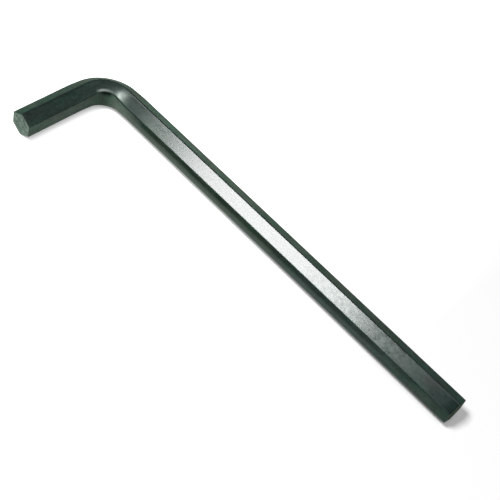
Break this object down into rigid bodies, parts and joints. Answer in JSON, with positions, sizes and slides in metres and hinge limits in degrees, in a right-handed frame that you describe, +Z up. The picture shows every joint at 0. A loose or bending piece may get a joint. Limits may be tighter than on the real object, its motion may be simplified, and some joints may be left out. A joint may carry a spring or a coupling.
{
  "type": "hex key",
  "caption": "Long-pattern hex key: a hexagonal steel bar with a right-angle bend near one end, for socket head screws.",
  "frame": {"origin": "middle of the key's outer box, on the surface that it lies on", "axes": "+X along the long arm towards its end, the short arm points along -Y, +Z up from the surface"},
  "size_m": [0.158, 0.039, 0.0091],
  "materials": {
    "blackened_steel": "heat-blackened and oiled"
  },
  "bodies": {
    "root": {"hex_key": "blackened_steel"}
  },
  "joints": []
}
